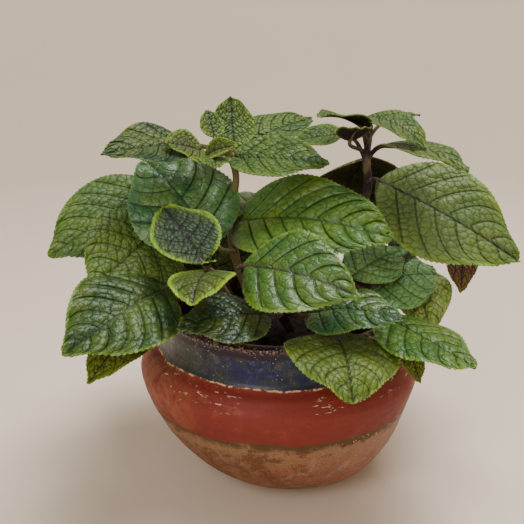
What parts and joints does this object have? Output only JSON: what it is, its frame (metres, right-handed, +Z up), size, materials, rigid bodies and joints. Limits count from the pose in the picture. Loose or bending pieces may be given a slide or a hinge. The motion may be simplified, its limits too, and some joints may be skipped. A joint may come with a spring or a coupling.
{
  "type": "potted plectranthus",
  "caption": "Bushy plectranthus with quilted, light-edged green leaves, growing from dark soil in a small round-bottomed bowl pot with a blue upper band.",
  "frame": {"origin": "middle of the pot's flat foot, on the surface it stands on", "axes": "+Z up, -Y towards the side seen in the picture, +X to the right in that view"},
  "size_m": [0.2171, 0.2006, 0.1861],
  "materials": {
    "pot_glaze": "satin",
    "potting_soil": "matte",
    "foliage": "satin",
    "young_foliage": "satin"
  },
  "bodies": {
    "root": {"pot": "pot_glaze", "soil": "potting_soil", "stem_left_tall": "foliage", "stem_front_left": "young_foliage", "stem_centre": "foliage", "stem_right_low": "foliage", "stem_right_tall": "foliage", "stem_left_low": "foliage", "stem_back_mid": "foliage", "stem_back_left": "foliage", "stem_back_right": "foliage"}
  },
  "joints": []
}
